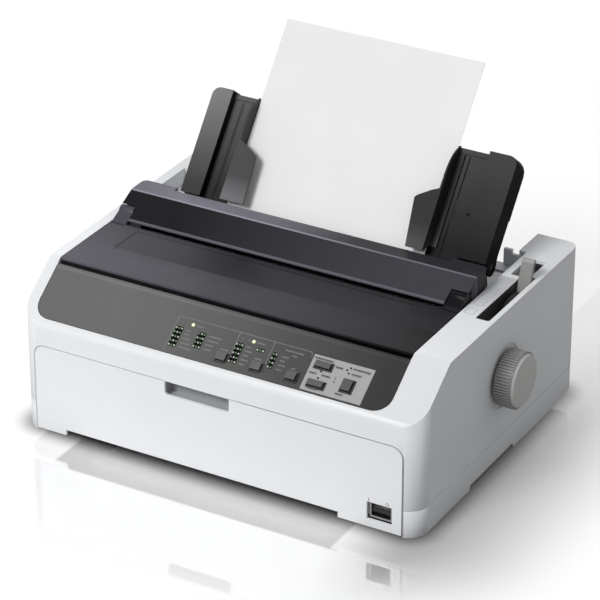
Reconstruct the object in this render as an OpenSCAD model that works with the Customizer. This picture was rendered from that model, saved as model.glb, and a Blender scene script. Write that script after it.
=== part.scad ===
// Desktop dot matrix printer with a hinged smoked cover, a rear sheet guide and a platen knob.
// Millimetres. Origin: middle of the body's footprint, on the table. +X right, +Y back, +Z up.

/* [Body] */
// Width of the body without the knob
body_w = 398; // [394:1:404]
// Depth of the body from the front face to the rear face
body_d = 305; // [302:1:310]
// Height of the side walls
wall_top = 147; // [146:0.5:149]
// Height where the front face would meet the sloped panel
ridge_z = 107.8; // [106:0.2:109]
// Distance of the slope's upper crease behind the front face
crease_y = 54; // [53:0.5:55]
// Height of the seam between the lower and upper case
seam_z = 25.8; // [25:0.1:26.5]
// Radius of the front upright corners
front_r = 20; // [16:1:22]
// Radius of the rear upright corners
rear_r = 10; // [6:1:12]
// Wall thickness of the case
wall = 3; // [2.5:0.1:3.2]

/* [Openings] */
// Left edge of the cover opening
open_l = -189; // [-190:0.5:-188]
// Right edge of the cover opening
open_r = 165; // [164:0.5:166]
// Front of the raised rear blocks
block_y = 267; // [266:0.5:269]
// Half width of the recess between the rear blocks
recess_w = 158; // [156:0.5:160]
// Height of the deck behind the platen
deck_z = 131; // [130:0.5:132]
// Height of the ledge in the rear recess
ledge_z = 88; // [86:0.5:90]

/* [Sheet guide] */
// Lean of the sheet guide behind the upright
lean = 38; // [37:0.5:39]
// Where the sheet plane crosses the beam's level, behind the front face
sheet_y = 202.5; // [202:0.5:204]
// Sheet width
sheet_w = 201.8; // [200:0.2:203]
// Length of sheet above the beam
sheet_up = 174; // [150:1:190]
// Left edge of the sheet
sheet_l = -103.8; // [-105:0.1:-103]
// Height of the guide along its slope
guide_up = 97; // [90:1:100]

/* [Platen] */
// Platen axis behind the front face
platen_y = 158.3; // [157:0.1:160]
// Platen axis height
platen_z = 83.5; // [82:0.1:85]
// Platen roller radius
platen_r = 15; // [14:0.5:15.5]
// Knob radius
knob_r = 26; // [24:0.5:27]
// Number of grip ribs on the knob
knob_ribs = 60; // [36:6:72]
// Radial clearance of every running fit
fit = 0.05; // [0.03:0.01:0.08]

/* [Hidden] */
$fn = 64;

slope_a = atan2(wall_top - ridge_z, crease_y);
slope_len = sqrt(pow(wall_top - ridge_z, 2) + crease_y * crease_y);
slope_skin = 5;
ridge_r = 8;
sheet_z = 162;
white = [0.92, 0.92, 0.93];
smoke = [0.16, 0.15, 0.17];
black = [0.12, 0.12, 0.12];
knobgrey = [0.52, 0.52, 0.5];
steel = [0.66, 0.67, 0.69];

module fb() translate([0, -body_d/2, 0]) children();
module xpr(x0, x1) translate([x0, 0, 0]) rotate([90, 0, 90]) linear_extrude(x1 - x0) children();
module ypr(y0, y1) translate([0, y1, 0]) rotate([90, 0, 0]) linear_extrude(y1 - y0) children();
module blk(x0, x1, y0, y1, z0, z1) translate([x0, y0, z0]) cube([x1 - x0, y1 - y0, z1 - z0]);
module xcyl(r, x0, x1, y, z) translate([x0, y, z]) rotate([0, 90, 0]) cylinder(r = r, h = x1 - x0);
module ycyl(r, y0, y1, x, z) translate([x, y0, z]) rotate([-90, 0, 0]) cylinder(r = r, h = y1 - y0);
module rrect(x0, x1, y0, y1, r) {
    translate([x0 + r, y0]) square([x1 - x0 - 2*r, y1 - y0]);
    translate([x0, y0 + r]) square([x1 - x0, y1 - y0 - 2*r]);
    for (x = [x0 + r, x1 - r], y = [y0 + r, y1 - r]) translate([x, y]) circle(r);
}
// Slope frame: x along X, y up the slope, z out of it
module on_slope() fb() translate([0, 0, ridge_z]) rotate([slope_a, 0, 0]) children();
// Sheet frame: x along X, y back through the sheet, z up along it
module on_sheet() fb() translate([0, sheet_y, sheet_z]) rotate([-lean, 0, 0]) children();

// ---- Outer form ----
module side_outline(g, gs) {
    t = tan(slope_a); c = cos(slope_a);
    zc = ridge_z + ridge_r*t - ridge_r/c;
    if (g == 0) {
        polygon([[0, 0], [0, zc], [ridge_r - ridge_r*sin(slope_a), zc + ridge_r*cos(slope_a)],
            [crease_y, wall_top], [body_d, wall_top], [body_d, 0]]);
        translate([ridge_r, zc]) circle(ridge_r);
    } else {
        polygon([[g, 0], [g, ridge_z + g*t - gs/c], [(wall_top - g - ridge_z + gs/c)/t, wall_top - g],
            [body_d - g, wall_top - g], [body_d - g, 0]]);
    }
}
module plan(g) {
    w = body_w/2 - g; f = front_r - g; r = rear_r - g;
    translate([-w, g + f]) square([2*w, body_d - 2*g - f - r]);
    translate([-w + f, g]) square([2*(w - f), f + 1]);
    translate([-w + r, body_d - g - r - 1]) square([2*(w - r), r + 1]);
    for (s = [-1, 1]) {
        translate([s*(w - f), g + f]) circle(f);
        translate([s*(w - r), body_d - g - r]) circle(r);
    }
}
module body_form(g, gs, z0, z1) intersection() {
    translate([0, 0, z0]) linear_extrude(z1 - z0) plan(g);
    xpr(-body_w, body_w) side_outline(g, gs);
}

// ---- Upper housing ----
door_w = 183.5; door_top = 86; door_t = 2.8; door_gap = 0.6;
door_in = door_t + door_gap + 0.2;
strip_z = wall_top;
lever_x0 = 181.2; lever_x1 = 194.2; lever_y0 = 134.3; lever_y1 = 257;
notch_l = -48.7; notch_r = 15.6; notch_z = 73;
// foot of the right strip on the deck, and the gap that the guide's post keeps from it
foot_r = 12; post_gap = 2.5;
panel_r = 16.5;

module upper_housing() color(white) fb() difference() {
    union() {
        difference() {
            body_form(0, 0, seam_z + 0.5, wall_top + 1);
            body_form(wall, slope_skin, seam_z - 1, wall_top + 1);
        }
        intersection() {
            body_form(0.5, 0.6, seam_z + 0.5, wall_top + 1);
            union() {
                // wall behind the door, its sill and the sheet slot's lips
                blk(-door_w - 4, door_w + 4, 2, door_in + 3, seam_z + 0.5, door_top + 5);
                blk(-door_w - 4, door_w + 4, door_in, 22, seam_z + 0.5, seam_z + 3);
                // pocket behind the finger notch
                blk(notch_l - 4, notch_r + 4, 3, 16, notch_z - 5, door_top + 4);
                // curtain walls of the cover opening
                blk(open_l - 2.5, open_l, 50, block_y, 118, wall_top - 0.5);
                blk(open_r, open_r + 2.5, 50, block_y, 118, wall_top - 0.5);
                // bar under the panel's upper edge
                blk(open_l - 2, open_r + 2, 44, 50, 129, 137);
                // deck behind the platen
                blk(open_l - 2, open_r + 2, 208, block_y, deck_z - 2.5, deck_z);
                // walls of the rear recess
                blk(-recess_w - 3, recess_w + 3, block_y - 3, body_d - 1, ledge_z - 3, wall_top - 0.5);
                blk(open_l - 3, -recess_w, block_y - 3, block_y, 110, wall_top - 0.5);
                // lever slot's inner wall
                blk(lever_x0 - 2.2, lever_x0, lever_y0 - 2, 250, 122, wall_top - 0.5);
            }
        }
        // concave foot between the deck and the right strip
        difference() {
            blk(open_r - foot_r, open_r + 1, 212, block_y, deck_z - 1, deck_z + foot_r);
            translate([0, -1, 0]) ycyl(foot_r, 211, block_y + 2, open_r - foot_r, deck_z + foot_r);
        }
    }
    // cover opening and the rear recess
    blk(open_l, open_r, 50, 208, 100, wall_top + 5);
    blk(open_l, open_r - foot_r, 207, block_y - 3, deck_z, wall_top + 5);
    blk(open_r - foot_r - 1, open_r, 207, block_y, deck_z + foot_r, wall_top + 5);
    blk(-recess_w, recess_w, block_y, body_d + 5, ledge_z, wall_top + 5);
    blk(-recess_w, recess_w - 14, block_y - 4, block_y + 1, deck_z, wall_top + 5);
    blk(open_l, -recess_w, 205, block_y - 3, deck_z, wall_top + 5);
    // fanfold opening in the deck and in the recess's wall
    blk(-128, 122, 206, 254, deck_z - 5, deck_z + 1);
    blk(-140, 128, block_y - 5, block_y + 1, ledge_z + 6, deck_z - 6);
    // small mounting slots in the deck
    for (x = [-152, 144.5]) translate([0, 0, deck_z - 3]) linear_extrude(4)
        rrect(x - 7.5, x + 7.5, 247.5, 252.5, 2.4);
    // panel seat in the slope and the window under it
    translate([0, 0, ridge_z]) rotate([slope_a, 0, 0]) {
        translate([0, 0, -3]) linear_extrude(9) difference() {
            translate([open_l + 0.25, 6.3]) square([open_r - open_l - 0.5, slope_len - 10]);
            corner_bit(open_l + 0.25, 6.3, 1, 1, panel_r);
            corner_bit(open_r - 0.25, 6.3, -1, 1, panel_r);
        }
        translate([open_l + 6, 9.7, -12]) cube([open_r - open_l - 12, slope_len - 18, 12]);
    }
    // door seat
    ypr(-1, door_in) {
        rrect(-door_w - door_gap, door_w + door_gap, 20, door_top + door_gap, 10.5);
        translate([-door_w - door_gap, 0]) square([2*(door_w + door_gap), 40]);
    }
    // finger pocket
    ypr(-1, 13) rrect(notch_l - 0.8, notch_r + 0.8, notch_z - 2, door_top + 0.6, 4);
    // front sheet slot behind the door
    blk(-128, 118, 1, 12, 46, 55);
    // lever slot and the notch behind it
    translate([0, 0, wall_top - 8]) linear_extrude(12) {
        rrect(lever_x0, lever_x1, lever_y0, 226, 2.5);
        translate([lever_x0, lever_y0]) square([6, 6]);
        translate([171.5, 222]) square([lever_x0 - 171.5 + 8, 35]);
        translate([lever_x0, 214]) square([8, 43]);
    }
    // knob hub hole with a shallow dish
    xcyl(8, body_w/2 - wall - 2, body_w/2 + 1, platen_y, platen_z);
    xcyl(knob_r + 3.5, body_w/2 - 1, body_w/2 + 1, platen_y, platen_z);
    // recessed ports and power inlet in the rear wall
    blk(111, 139, body_d - 5, body_d + 1, 42, 64);
    blk(-127, -55, body_d - 5, body_d + 1, 40, 62);
    blk(-43, -29, body_d - 5, body_d + 1, 42, 55);
    blk(-16, 17, body_d - 5, body_d + 1, 41, 55);
    // cooling slots in the rear wall
    for (i = [0:9]) blk(34 + i*6, 37 + i*6, body_d - 5, body_d + 1, 68, 80);
}
// what a rounded corner takes away: the corner's place, the way into the piece, the radius
module corner_bit(x, y, dx, dy, r) difference() {
    translate([x - (dx > 0 ? 1 : r), y - (dy > 0 ? 1 : r)]) square(r + 1);
    translate([x + dx*r, y + dy*r]) circle(r);
}

// ---- Lower case ----
hinge_y = 6.5; hinge_z = 8;
module lower_case() color(white) fb() difference() {
    union() {
        difference() {
            linear_extrude(seam_z) plan(0);
            translate([0, 0, 5.5]) linear_extrude(30) plan(wall);
            translate([0, 0, -1]) linear_extrude(4) plan(wall);
        }
        // wall behind the door's hinge
        blk(-door_w - 4, door_w + 4, hinge_wall, hinge_wall + 2.5, 2, seam_z);
        for (s = [-1, 1]) blk(s > 0 ? door_w + 0.6 : -door_w - 4, s > 0 ? door_w + 4 : -door_w - 0.6,
            3, hinge_wall + 2.5, 2, seam_z);
        // standing rib round the underside
        difference() {
            blk(-165, 165, 25, 285, 0, 4);
            blk(-160, 160, 30, 280, -1, 3);
        }
        // bosses for the chassis pan
        for (x = boss_x, y = boss_y) translate([x, y, 5]) cylinder(r = 5, h = 3);
    }
    // space for the door and its swing
    blk(-door_w - 0.6, door_w + 0.6, -1, hinge_wall, -1, seam_z + 5);
    // raised hand grips in the side skirts and the rear skirt
    for (s = [-1, 1]) {
        xpr(s > 0 ? 190 : -200, s > 0 ? 200 : -190)
            polygon([[96, -1], [99, 4.5], [180, 4.5], [183, -1]]);
    }
    blk(-200, 200, 270, 306, -1, 2.6);
    for (s = [-1, 1]) xcyl(door_pin_r, s > 0 ? door_w - 2 : -door_w - 8,
        s > 0 ? door_w + 8 : -door_w + 2, hinge_y, hinge_z);
}

module rubber_feet() color(black) fb() for (x = [-140, 140], y = [45, 262])
    translate([x, y, 0]) { cylinder(r = 9, h = 1.5); translate([0, 0, 1.5]) cylinder(r = 7.5, h = 1.5); }

// ---- Front door ----
sw_x = 162.5; sw_z = 17.5; sw_w = 21.6; sw_h = 15; sw_front = 3.4; sw_rim = 1.6;
sw_l = sw_x - sw_w/2; sw_r = sw_x + sw_w/2; sw_b = sw_z - sw_h/2; sw_t = sw_z + sw_h/2;
hinge_wall = 17.5;
knuck_x1 = door_w - 2.7; knuck_x0 = knuck_x1 - 6; door_pin_r = 2;
module front_door() color(white) fb() difference() {
    union() {
        ypr(0, door_t) {
            difference() {
                rrect(-door_w, door_w, 1.8, door_top, 10);
                translate([-door_w - 1, 0]) square([2*door_w + 2, 14]);
            }
            translate([-door_w, 1.8]) square([2*door_w, 14]);
        }
        for (x = [knuck_x0, -knuck_x1]) xpr(x, x + knuck_x1 - knuck_x0) {
            translate([hinge_y, hinge_z]) circle(4);
            polygon([[1, hinge_z - 4], [hinge_y, hinge_z - 4], [hinge_y, hinge_z + 4],
                [1, hinge_z + 12]]);
        }
    }
    // raised middle of the lower edge
    blk(-153, 122.5, -1, 4, -1, 7.2);
    // finger notch
    ypr(-1, 4) { rrect(notch_l, notch_r, notch_z, door_top + 12, 4); }
    // window for the power switch
    ypr(-1, 4) rrect(sw_l - 1.2, sw_r + 1.2, sw_b - 1.2, sw_t + 1.2, 1);
    for (x = [knuck_x0 - 1, -knuck_x1 - 1])
        xcyl(door_pin_r + fit, x, x + knuck_x1 - knuck_x0 + 2, hinge_y, hinge_z);
}
module door_pins() color(steel) fb() for (s = [-1, 1])
    xcyl(door_pin_r, s > 0 ? knuck_x0 - 1.3 : -door_w - 4, s > 0 ? door_w + 4 : 1.3 - knuck_x0,
        hinge_y, hinge_z);
rock_y = sw_front + 6.5; rock_pin = 1.5;
module switch_frame() color(black) fb() difference() {
    ypr(sw_front, hinge_wall) rrect(sw_l, sw_r, sw_b, sw_t, 1);
    ypr(sw_front - 1, hinge_wall - 1.5) translate([sw_l + sw_rim, sw_b + sw_rim])
        square([sw_w - 2*sw_rim, sw_h - 2*sw_rim]);
    xcyl(rock_pin + fit, sw_l - 1, sw_r + 1, rock_y, sw_z);
}
module power_rocker() color(black) fb() {
    xpr(sw_l + sw_rim + 0.4, sw_r - sw_rim - 0.4) translate([rock_y, sw_z]) rotate(-8) intersection() {
        circle(5.7);
        polygon([[-6.6, -7], [-4.4, 0], [-6.6, 7], [6, 7], [6, -7]]);
    }
    xcyl(rock_pin, sw_l, sw_r, rock_y, sw_z);
}

// ---- Control panel ----
pan_lo = 6.9; pan_hi = 61.3; pan_t = 2.4; pan_top = -0.5; pan_roll = 3.2;
plate_x0 = 80.6; plate_x1 = 139; plate_y0 = 8.2; plate_y1 = 42.6;
// button: centre x, centre y up the slope, width, height
btns = [[1.4, 16.4, 11.6, 9.4], [35.6, 16.4, 11.6, 9.4], [69.8, 16.6, 11.6, 9.4],
    [93.2, 33.6, 17, 7.4], [93.6, 15.6, 17, 7.4], [121.2, 21.6, 11.4, 12.4]];
module panel_outline() difference() {
    translate([open_l + 0.7, pan_lo]) square([open_r - open_l - 1.4, pan_hi - pan_lo]);
    corner_bit(open_l + 0.7, pan_lo, 1, 1, panel_r);
    corner_bit(open_r - 0.7, pan_lo, -1, 1, panel_r);
}
module control_panel() color([0.36, 0.36, 0.35]) on_slope() difference() {
    translate([0, 0, pan_top - pan_t]) linear_extrude(pan_t) panel_outline();
    for (b = btns) translate([b[0] - b[2]/2 - 0.4, b[1] - b[3]/2 - 0.4, -6])
        cube([b[2] + 0.8, b[3] + 0.8, 8]);
    translate([plate_x0, plate_y0, pan_top - 0.8]) cube([plate_x1 - plate_x0, plate_y1 - plate_y0, 3]);
    // upper edge falls away towards the cover
    xpr(open_l, open_r) polygon([[pan_hi - pan_roll, pan_top], [pan_hi + 1, pan_top - pan_roll/2 - 0.5],
        [pan_hi + 1, pan_top + 1], [pan_hi - pan_roll, pan_top + 1]]);
}
module panel_label_plate() color([0.72, 0.72, 0.73]) on_slope() difference() {
    translate([plate_x0 + 0.1, plate_y0 + 0.1, pan_top - 0.8])
        cube([plate_x1 - plate_x0 - 0.2, plate_y1 - plate_y0 - 0.2, 1.0]);
    for (i = [3:5]) let (b = btns[i]) translate([b[0] - b[2]/2 - 0.4, b[1] - b[3]/2 - 0.4, -6])
        cube([b[2] + 0.8, b[3] + 0.8, 8]);
}
module push_button(b) on_slope() {
    translate([0, 0, -8.6]) linear_extrude(9.8) rrect(b[0] - b[2]/2, b[0] + b[2]/2,
        b[1] - b[3]/2, b[1] + b[3]/2, 1);
    translate([b[0] - b[2]/2 - 1.2, b[1] - b[3]/2 - 1.2, -5.2]) cube([b[2] + 2.4, b[3] + 2.4, 1.4]);
}
module button_font() color(smoke) push_button(btns[0]);
module button_pitch() color(smoke) push_button(btns[1]);
module button_tear() color(smoke) push_button(btns[2]);
module button_load() color(smoke) push_button(btns[3]);
module button_adjust() color(smoke) push_button(btns[4]);
module button_pause() color(smoke) push_button(btns[5]);
// indicator fields: left, bottom, columns, rows
leds = [[-56.5, 22.4, 3, 5], [-31, 23, 3, 4], [5.5, 21.4, 3, 5], [29, 23, 1, 3], [44.5, 22.4, 2, 4]];
module indicator_lenses() color([0.62, 0.62, 0.6]) on_slope() {
    for (f = leds, i = [0:f[2] - 1], j = [0:f[3] - 1])
        translate([f[0] + i*4.6, f[1] + j*3.1, pan_top]) cube([2.6, 1.5, 0.35]);
    for (x = [-47.8, -42.4, -37, 22.8]) translate([x - 1.6, 37.3, pan_top]) cube([3.2, 1.8, 0.4]);
}
module panel_board() color([0.1, 0.32, 0.18]) on_slope() difference() {
    translate([-70, 9, -11.6]) cube([225, 38, 1.6]);
    translate([-60, 40, -13]) cylinder(r = 1.6, h = 5);
}

// ---- Smoked cover ----
cov_y0 = 52.6; cov_y1 = 136; cov_t = 2.8; pin_y = 153; pin_z = 151.2; pin_r = 2; knuck_r = 5.5;
cov_l = open_l + 1.3; cov_r = open_r - 1.2; arm_w = 14.5; groove_w = 2.6;
// sunk field of the cover: left, right, front, rear edge and depth
field_l = -157; field_r = 134; field_y0 = 90; field_y1 = 130; field_cut = 0.4;
module cover_arm() {
    polygon([[129.6, wall_top - cov_t], [129.6, wall_top - 1.8], [cov_y1 - 0.4, wall_top - 1.8],
        [cov_y1 - 0.4, wall_top + 0.3], [148, pin_z + 2], [pin_y, pin_z], [pin_y, pin_z - knuck_r],
        [140, wall_top - cov_t]]);
    translate([pin_y, pin_z]) circle(knuck_r);
}
module printer_cover() color(smoke) fb() difference() {
    union() {
        blk(cov_l, cov_r, cov_y0, cov_y1, wall_top - cov_t, wall_top);
        // front lip and side ribs
        blk(cov_l, cov_r, cov_y0, cov_y0 + 2.2, wall_top - 5.4, wall_top);
        for (x = [cov_l + 2, cov_r - 4]) blk(x, x + 2, cov_y0 + 2, cov_y1 - 6, wall_top - 6, wall_top - 2);
        xpr(cov_l, cov_l + arm_w) cover_arm();
        xpr(cov_r - arm_w, cov_r) cover_arm();
    }
    blk(field_l, field_r, field_y0, field_y1, wall_top - field_cut, wall_top + 1);
    for (x = [cov_l - 1, cov_r - arm_w])
        blk(x, x + arm_w + 1, cov_y1 - 0.4 - groove_w, cov_y1 - 0.4, wall_top - 1.8, wall_top + 1);
    xcyl(pin_r + fit, cov_l + 1.8, cov_l + arm_w + 1, pin_y, pin_z);
    xcyl(pin_r + fit, cov_r - arm_w - 1, cov_r - 1.8, pin_y, pin_z);
}

// ---- Bridge over the platen ----
br_l = cov_l; br_r = cov_r;
rib_t = 3; rib_l = br_l + arm_w + 1; rib_r = br_r - arm_w - 1;
// profile: front edge, ridge, rear edge, rear edge of the wider tabs, top
br_y0 = 139.2; br_rise = 0.474; ridge_y = 170; br_y1 = 186; tab_y = 192; br_top = 165.4; br_t = 2.4;
br_z0 = br_top - 0.2 - br_rise*(ridge_y - br_y0);
tab_l = -152; tab_r = 129; tab_round = 5;
module bridge_outer()
    polygon([[br_y0, br_z0 - 1.4], [br_y0, br_z0], [ridge_y, br_top - 0.2], [ridge_y + 1, br_top],
        [br_y1, br_top], [br_y1, br_top - 4.9], [br_y1 - 2.6, 147.2], [br_y1 - 2.6, 140],
        [ridge_y, 140], [141, 147.6]]);
module bridge_inner()
    polygon([[br_y0 + 3, 130], [br_y0 + 3, br_z0 - 1.24], [ridge_y + 1, br_top - 2.6],
        [br_y1 - 2.6, br_top - br_t], [br_y1 - 2.6, br_top - 4], [br_y1 - 5, 147.9], [br_y1 - 5, 130]]);
module rear_bridge() color(smoke) fb() difference() {
    union() {
        difference() {
            xpr(br_l, br_r) intersection() {
                bridge_outer();
                translate([130, 146]) square([80, 40]);
            }
            xpr(br_l - 1, br_r + 1) bridge_inner();
        }
        // wider tabs of the top at both ends
        for (x = [[br_l, tab_l], [tab_r, br_r]]) difference() {
            blk(x[0], x[1], br_y1 - 2.5, tab_y, br_top - 7.4, br_top);
            blk(x[0] + br_t, x[1] - br_t, br_y1 - 9, tab_y - br_t, br_top - 15, br_top - br_t);
        }
        // closed ends and the ribs that carry the hinge pins
        for (x = [br_l, br_r - br_t]) xpr(x, x + br_t)
            polygon([[161.4, 141], [161.4, 160.9], [ridge_y, br_top - 0.4], [tab_y, br_top], [tab_y, 141]]);
        for (x = [rib_l, rib_r - rib_t]) {
            xpr(x, x + rib_t) bridge_outer();
            blk(x, x + rib_t, 160, br_y1 - 5, 128, 148);
        }
    }
    for (x = [[br_l, 1], [br_r, -1]]) translate([0, 0, 140]) linear_extrude(30)
        corner_bit(x[0], tab_y, x[1], -1, tab_round);
    // room for the cover's arms and knuckles
    for (x = [[br_l - 1, rib_l], [rib_r, br_r + 1]]) {
        xcyl(knuck_r + 0.9, x[0], x[1], pin_y, pin_z);
        blk(x[0], x[1], 130, pin_y + 0.01, 135, 175);
        blk(x[0], x[1], 130, pin_y + knuck_r + 0.9, 135, pin_z);
    }
    for (x = [rib_l - 1, rib_r - rib_t - 1]) xcyl(pin_r, x, x + rib_t + 2, pin_y, pin_z);
}
module cover_pins() color(steel) fb() {
    xcyl(pin_r, cov_l + 2.2, rib_l + rib_t, pin_y, pin_z);
    xcyl(pin_r, rib_r - rib_t, cov_r - 2.2, pin_y, pin_z);
}

// ---- Sheet guide ----
tw_l0 = -151; tw_l1 = -130.8; tw_r0 = 130.8; tw_r1 = 158.5;
gp_d = 10; gp_s = 0; gd_back = 16; tw_front = -6; tw_t = 2.4; pan_d = 3; guide_pin = 3;
tw_lo_l = -5; tw_lo_r = -1.5; sheet_lo = -12;
module tower_front(x0, x1, lo) {
    rrect(x0, x1, 20, guide_up, 8);
    translate([x0, lo]) square([x1 - x0, 60 - lo]);
    translate([x0 < 0 ? x1 - 10 : x0, 40]) square([10, guide_up - 40]);
}
module side_wall2d(lo) {
    // y back, z up along the sheet
    translate([gp_d, gp_s]) circle(9);
    polygon([[tw_front, lo], [tw_front, guide_up - 7], [tw_front + 3, guide_up], [12, guide_up - 2],
        [gd_back, guide_up - 8], [gd_back + 1.6, guide_up - 12], [gd_back + 1.6, 44], [gd_back, 43.5],
        [gd_back, 10], [gp_d + 8.9, 0], [gp_d, -3], [4, -2]]);
}
module tower(x0, x1, lo) intersection() {
    union() {
        ypr(tw_front, tw_front + tw_t) tower_front(x0, x1, lo);
        for (x = [x0, x1 - tw_t]) xpr(x, x + tw_t) side_wall2d(lo);
        translate([x0, tw_front, guide_up - tw_t]) cube([x1 - x0, gd_back - tw_front - 5, tw_t]);
    }
    ypr(-30, 60) {
        tower_front(x0, x1, lo);
        translate([x0, -20]) square([x1 - x0, 30]);
    }
}
module sheet_guide() color(black) on_sheet() difference() {
    union() {
        tower(tw_l0, tw_l1, tw_lo_l);
        tower(tw_r0, tw_r1, tw_lo_r);
        // middle panel with its top lip and stiffening ribs
        blk(tw_l1 - 1, tw_r0 + 1, pan_d, pan_d + 2.4, -9, guide_up - 1.7);
        blk(tw_l1 - 1, tw_r0 + 1, pan_d - 1.2, pan_d + 7, guide_up - 6.2, guide_up - 1.7);
        for (z = [-6, 20, 46]) blk(tw_l1 - 1, tw_r0 + 1, pan_d + 2, pan_d + 8, z, z + 2);
    }
    for (x = [-122, 110.6]) blk(x - 0.6, x + 0.6, pan_d - 1, pan_d + 0.6, -12, guide_up - 8);
    xcyl(guide_pin + fit, tw_l0 - 1, tw_l1 + 1, gp_d, gp_s);
    xcyl(guide_pin + fit, tw_r0 - 1, tw_r1 + 1, gp_d, gp_s);
}
module guide_pins() color(steel) on_sheet() {
    xcyl(guide_pin, tw_l0 + 0.4, tw_l1 + 1.2, gp_d, gp_s);
    xcyl(guide_pin, tw_r0 - 1.2, tw_r1 - 0.4, gp_d, gp_s);
}
gp_y = sheet_y + gp_s*sin(lean) + gp_d*cos(lean);
gp_z = sheet_z + gp_s*cos(lean) - gp_d*sin(lean);
// the right post stays inside its tower and clear of the right strip's foot
post_r = min(tw_r1 - 8, open_r - foot_r - post_gap);
module guide_posts() color(black) fb() for (x = [[tw_l0 + 6, tw_l1 - 6], [tw_r0 + 8, post_r]]) difference() {
    union() {
        xcyl(5.6, x[0], x[1], gp_y, gp_z);
        xpr(x[0], x[1]) polygon([[gp_y - 5.6, gp_z], [gp_y + 5.6, gp_z], [gp_y + 9, deck_z], [gp_y + 1, deck_z]]);
    }
    xcyl(guide_pin + 0.01, x[0] - 1, x[1] + 1, gp_y, gp_z);
}
fin_l = sheet_l - 0.5; fin_r = sheet_l + sheet_w + 0.5;
// fin outline: y back through the sheet, z up along it
module fin2d() polygon([[2.9, 3], [2.9, guide_up - 7], [0.4, guide_up - 7], [0.4, guide_up - 0.5],
    [-2, guide_up - 2.5], [-5, guide_up - 6], [-8.4, guide_up - 10.5], [-11, guide_up - 17],
    [-12.8, guide_up - 24], [-13.6, guide_up - 32], [-13.6, -4.2], [-11.6, -4.2], [0, 4], [0.6, 3]]);
module edge_guide(x, s, inner) {
    xpr(min(x, x + s*2), max(x, x + s*2)) intersection() {
        fin2d();
        translate([-20, -6]) square([21.6 + 1.2, 140]);
    }
    // foot that slides on the panel
    blk(min(x - s*17, x + s*7.5), max(x - s*17, x + s*7.5), 0.8, pan_d - 0.2, 3, guide_up - 7);
    // front lip over the sheet's edge
    translate([0, -11.8, 0]) rotate([90, 0, 0]) linear_extrude(1.8)
        polygon([[x, -4.2], [x, 53], [x - s*6.5, 50], [x - s*18.6, 42.5], [x - s*20.6, 40], [inner, -4.2]]);
}
module edge_guide_left() color(black) on_sheet() edge_guide(fin_l, -1, -82.2);
module edge_guide_right() color(black) on_sheet() edge_guide(fin_r, 1, 83.6);
module paper_sheet() color([0.97, 0.97, 0.97]) on_sheet()
    blk(sheet_l, sheet_l + sheet_w, 0, 0.35, sheet_lo, sheet_up);
module paper_chute() color(black) on_sheet() {
    blk(rib_l + rib_t, rib_r - rib_t, 1, 3, -46, sheet_lo - 1);
    for (x = [-110, -40, 30, 100]) blk(x, x + 2, 2.5, 9, -44, -16);
}

// ---- Platen ----
module platen_roller() color([0.1, 0.1, 0.1]) fb() difference() {
    xcyl(platen_r, -150, 136, platen_y, platen_z);
    xcyl(5, -151, 137, platen_y, platen_z);
}
module platen_shaft() color(steel) fb() xcyl(5, -184, 212, platen_y, platen_z);
module platen_knob() color(knobgrey) fb() translate([0, platen_y, platen_z]) difference() {
    union() {
        rotate([0, 90, 0]) {
            translate([0, 0, 200.6]) cylinder(r = knob_r - 1.4, h = 16.2);
            translate([0, 0, 216.8]) cylinder(r1 = knob_r - 1.4, r2 = knob_r - 3, h = 2.2);
            translate([0, 0, 200]) cylinder(r = 12, h = 2);
        }
        for (i = [0:knob_ribs - 1]) rotate([i*360/knob_ribs, 0, 0])
            translate([201.2, knob_r - 2.2, -0.75]) cube([15, 2.2, 1.5]);
    }
    rotate([0, 90, 0]) translate([0, 0, 190]) cylinder(r = 5, h = 22);
}
// plain involute-like gear outline: n teeth of module m
function gear_pts(n, m, ph) = [for (i = [0:n - 1], k = [0:3])
    let (a = ph + i*360/n + [-0.3, -0.14, 0.14, 0.3][k]*360/n, r = n*m/2 + [-1.15, 0.8, 0.8, -1.15][k]*m)
    [r*cos(a), r*sin(a)]];
gear_n = 48; pin_n = 12; gear_m = 1;
mesh_a = 215; gear_cd = (gear_n + pin_n)*gear_m/2;
pini_y = platen_y + gear_cd*cos(mesh_a); pini_z = platen_z + gear_cd*sin(mesh_a);
module platen_gear() color([0.85, 0.85, 0.8]) fb() translate([0, platen_y, platen_z]) difference() {
    xpr(-182, -177) polygon(gear_pts(gear_n, gear_m, mesh_a));
    rotate([0, 90, 0]) translate([0, 0, -190]) cylinder(r = 5, h = 20);
    for (a = [0:60:300]) rotate([a, 0, 0]) translate([-183, 14, 0]) rotate([0, 90, 0]) cylinder(r = 4, h = 8);
}
module feed_pinion() color([0.85, 0.85, 0.8]) fb() translate([0, pini_y, pini_z]) {
    xpr(-182, -177) polygon(gear_pts(pin_n, gear_m, mesh_a + 180 + 180/pin_n));
    rotate([0, 90, 0]) translate([0, 0, -177]) cylinder(r = 2.5, h = 10);
}
module feed_motor() color([0.2, 0.2, 0.22]) fb() translate([0, pini_y, pini_z]) difference() {
    union() {
        rotate([0, 90, 0]) translate([0, 0, rib_l + rib_t]) cylinder(r = 17, h = 18);
        translate([rib_l + rib_t, -24, -5]) cube([1.6, 48, 10]);
    }
    rotate([0, 90, 0]) translate([0, 0, rib_l - 1]) cylinder(r = 2.5 + fit, h = 14);
}

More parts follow.
